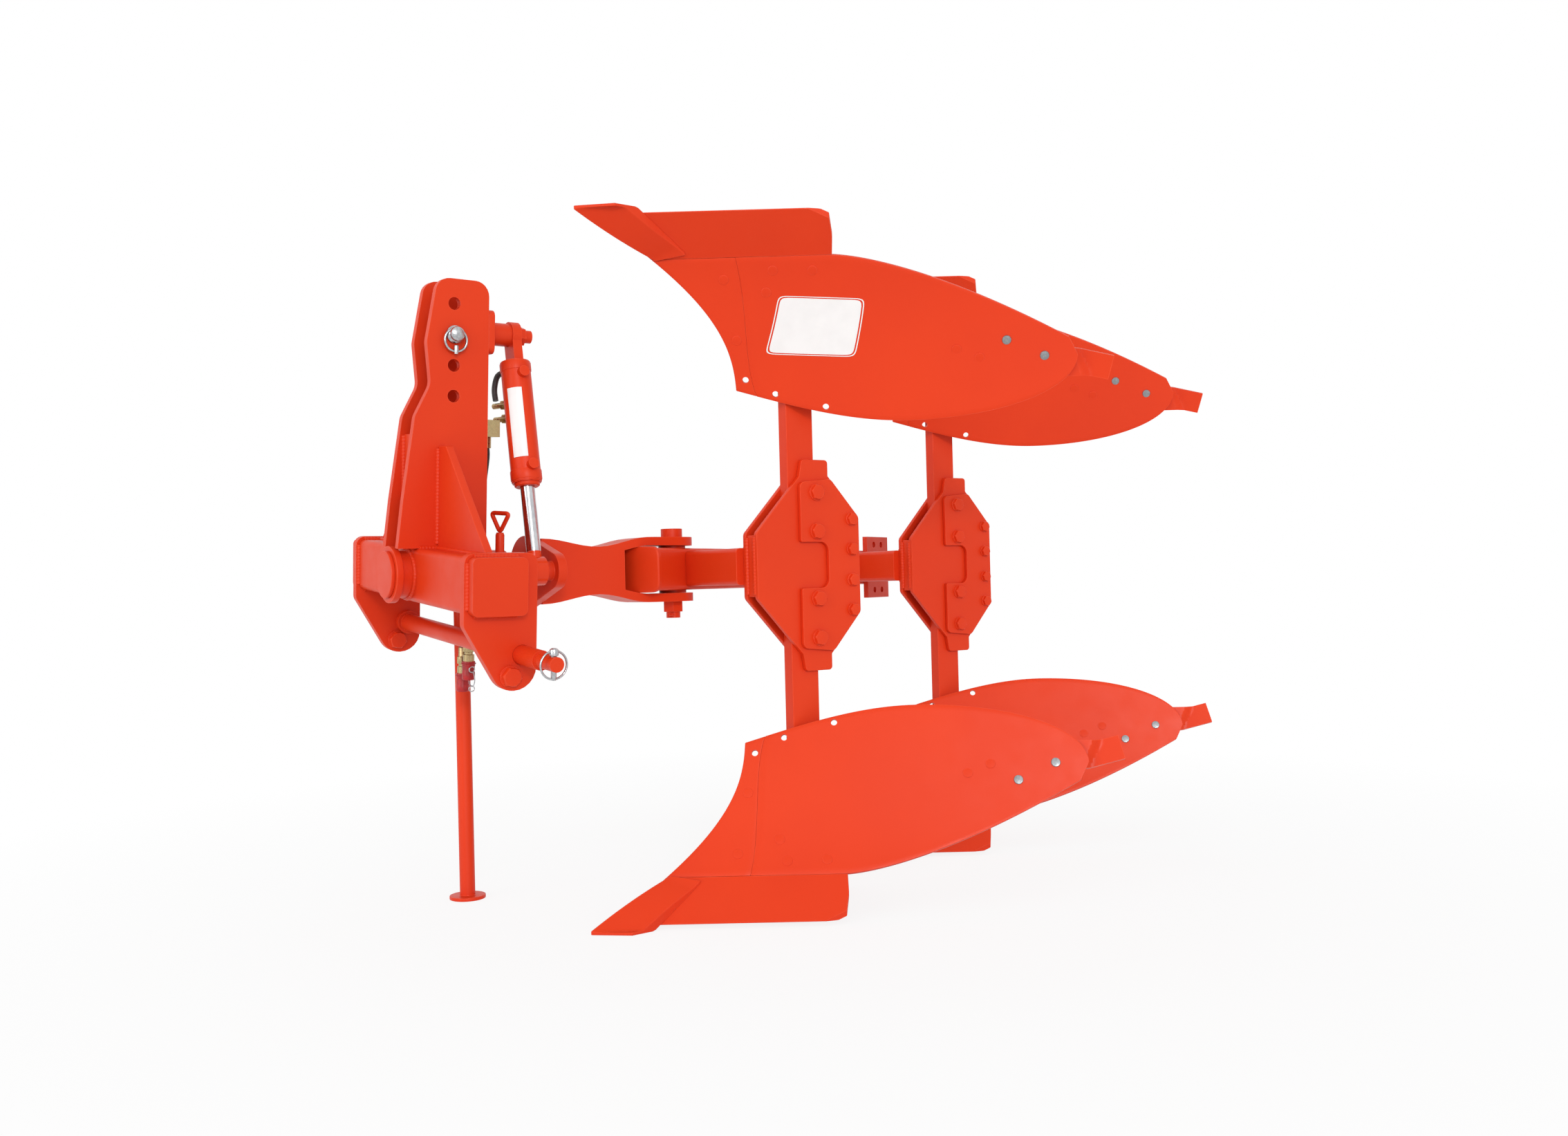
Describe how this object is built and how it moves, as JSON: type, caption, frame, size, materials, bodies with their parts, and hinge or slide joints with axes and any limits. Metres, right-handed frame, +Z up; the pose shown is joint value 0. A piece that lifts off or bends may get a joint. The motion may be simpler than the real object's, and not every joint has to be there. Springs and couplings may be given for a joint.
{
  "type": "reversible moldboard plough",
  "caption": "Mounted reversible moldboard plough: a three-point headstock with a hydraulic turnover carries mirrored upper and lower plough bodies on a slanted beam, parked on its stand.",
  "frame": {"origin": "on the ground under the middle of the plough's box", "axes": "+X forward to the tractor, +Y to the plough's left, +Z up"},
  "size_m": [2.0483, 1.2538, 1.46],
  "materials": {
    "paint": "glossy orange-red paint",
    "bare_steel": "turned steel",
    "plated": "zinc plated",
    "chrome": "polished chrome",
    "brass": "satin brass",
    "hose": "black hose",
    "cap": "red dust cap"
  },
  "bodies": {
    "headstock": {"cross_tube": "paint", "end_plates": "paint", "mast_plates": "paint", "mast_tie": "paint", "mast_rear_plate": "paint", "gussets": "paint", "bearing_tube": "paint", "bearing_cap": "paint", "hitch_bar": "paint", "top_link_pin": "plated", "lock_bracket": "paint", "lock_pin": "paint", "stand_sleeve": "paint", "hose_block": "brass", "hose_left": "hose", "hose_right": "hose", "hose_couplers": "cap"},
    "stand": {"stand_leg": "paint"},
    "turnover": {"turnover_shaft": "bare_steel", "crank_plate": "paint", "turnover_arm": "paint", "pivot_pin": "paint"},
    "rod": {"cylinder_rod": "chrome"},
    "barrel": {"cylinder_barrel": "paint"},
    "beam": {"main_beam": "paint", "beam_stubs": "paint", "extension_flange": "paint", "hanger_plates_front": "paint", "hanger_plates_rear": "paint", "hanger_webs": "paint", "hanger_covers": "paint", "legs_front": "paint", "legs_rear": "paint", "front_moldboards": "paint", "front_shins": "paint", "front_shares": "paint", "front_points": "paint", "front_frogs": "paint", "front_landsides": "paint", "front_tails": "paint", "rear_moldboards": "paint", "rear_shins": "paint", "rear_shares": "paint", "rear_points": "paint", "rear_frogs": "paint", "rear_landsides": "paint", "rear_tails": "paint"}
  },
  "joints": [
    {"name": "turnover", "type": "hinge", "parent": "headstock", "child": "turnover", "pos_m": [0.86538, -0.14683, 0.73], "axis": [1, 0, 0], "range_deg": [0, 169.6]},
    {"name": "beam_swing", "type": "hinge", "parent": "turnover", "child": "beam", "pos_m": [0.35138, -0.14683, 0.73], "axis": [0, 0, 1], "range_deg": [-5, 5]},
    {"name": "rod_swing", "type": "hinge", "parent": "turnover", "child": "rod", "pos_m": [0.75238, -0.01183, 0.73], "axis": [1, 0, 0], "range_deg": [-201, 0]},
    {"name": "barrel_slide", "type": "slide", "parent": "rod", "child": "barrel", "axis": [0, 0.1773, -0.9842], "range_m": [0, 0.141]},
    {"name": "stand_slide", "type": "slide", "parent": "headstock", "child": "stand", "axis": [0, 0, 1], "range_m": [0, 0.35]}
  ],
  "couplings": [
    {"joint": "rod_swing", "follows": "turnover", "ratio": -1.1817}
  ]
}
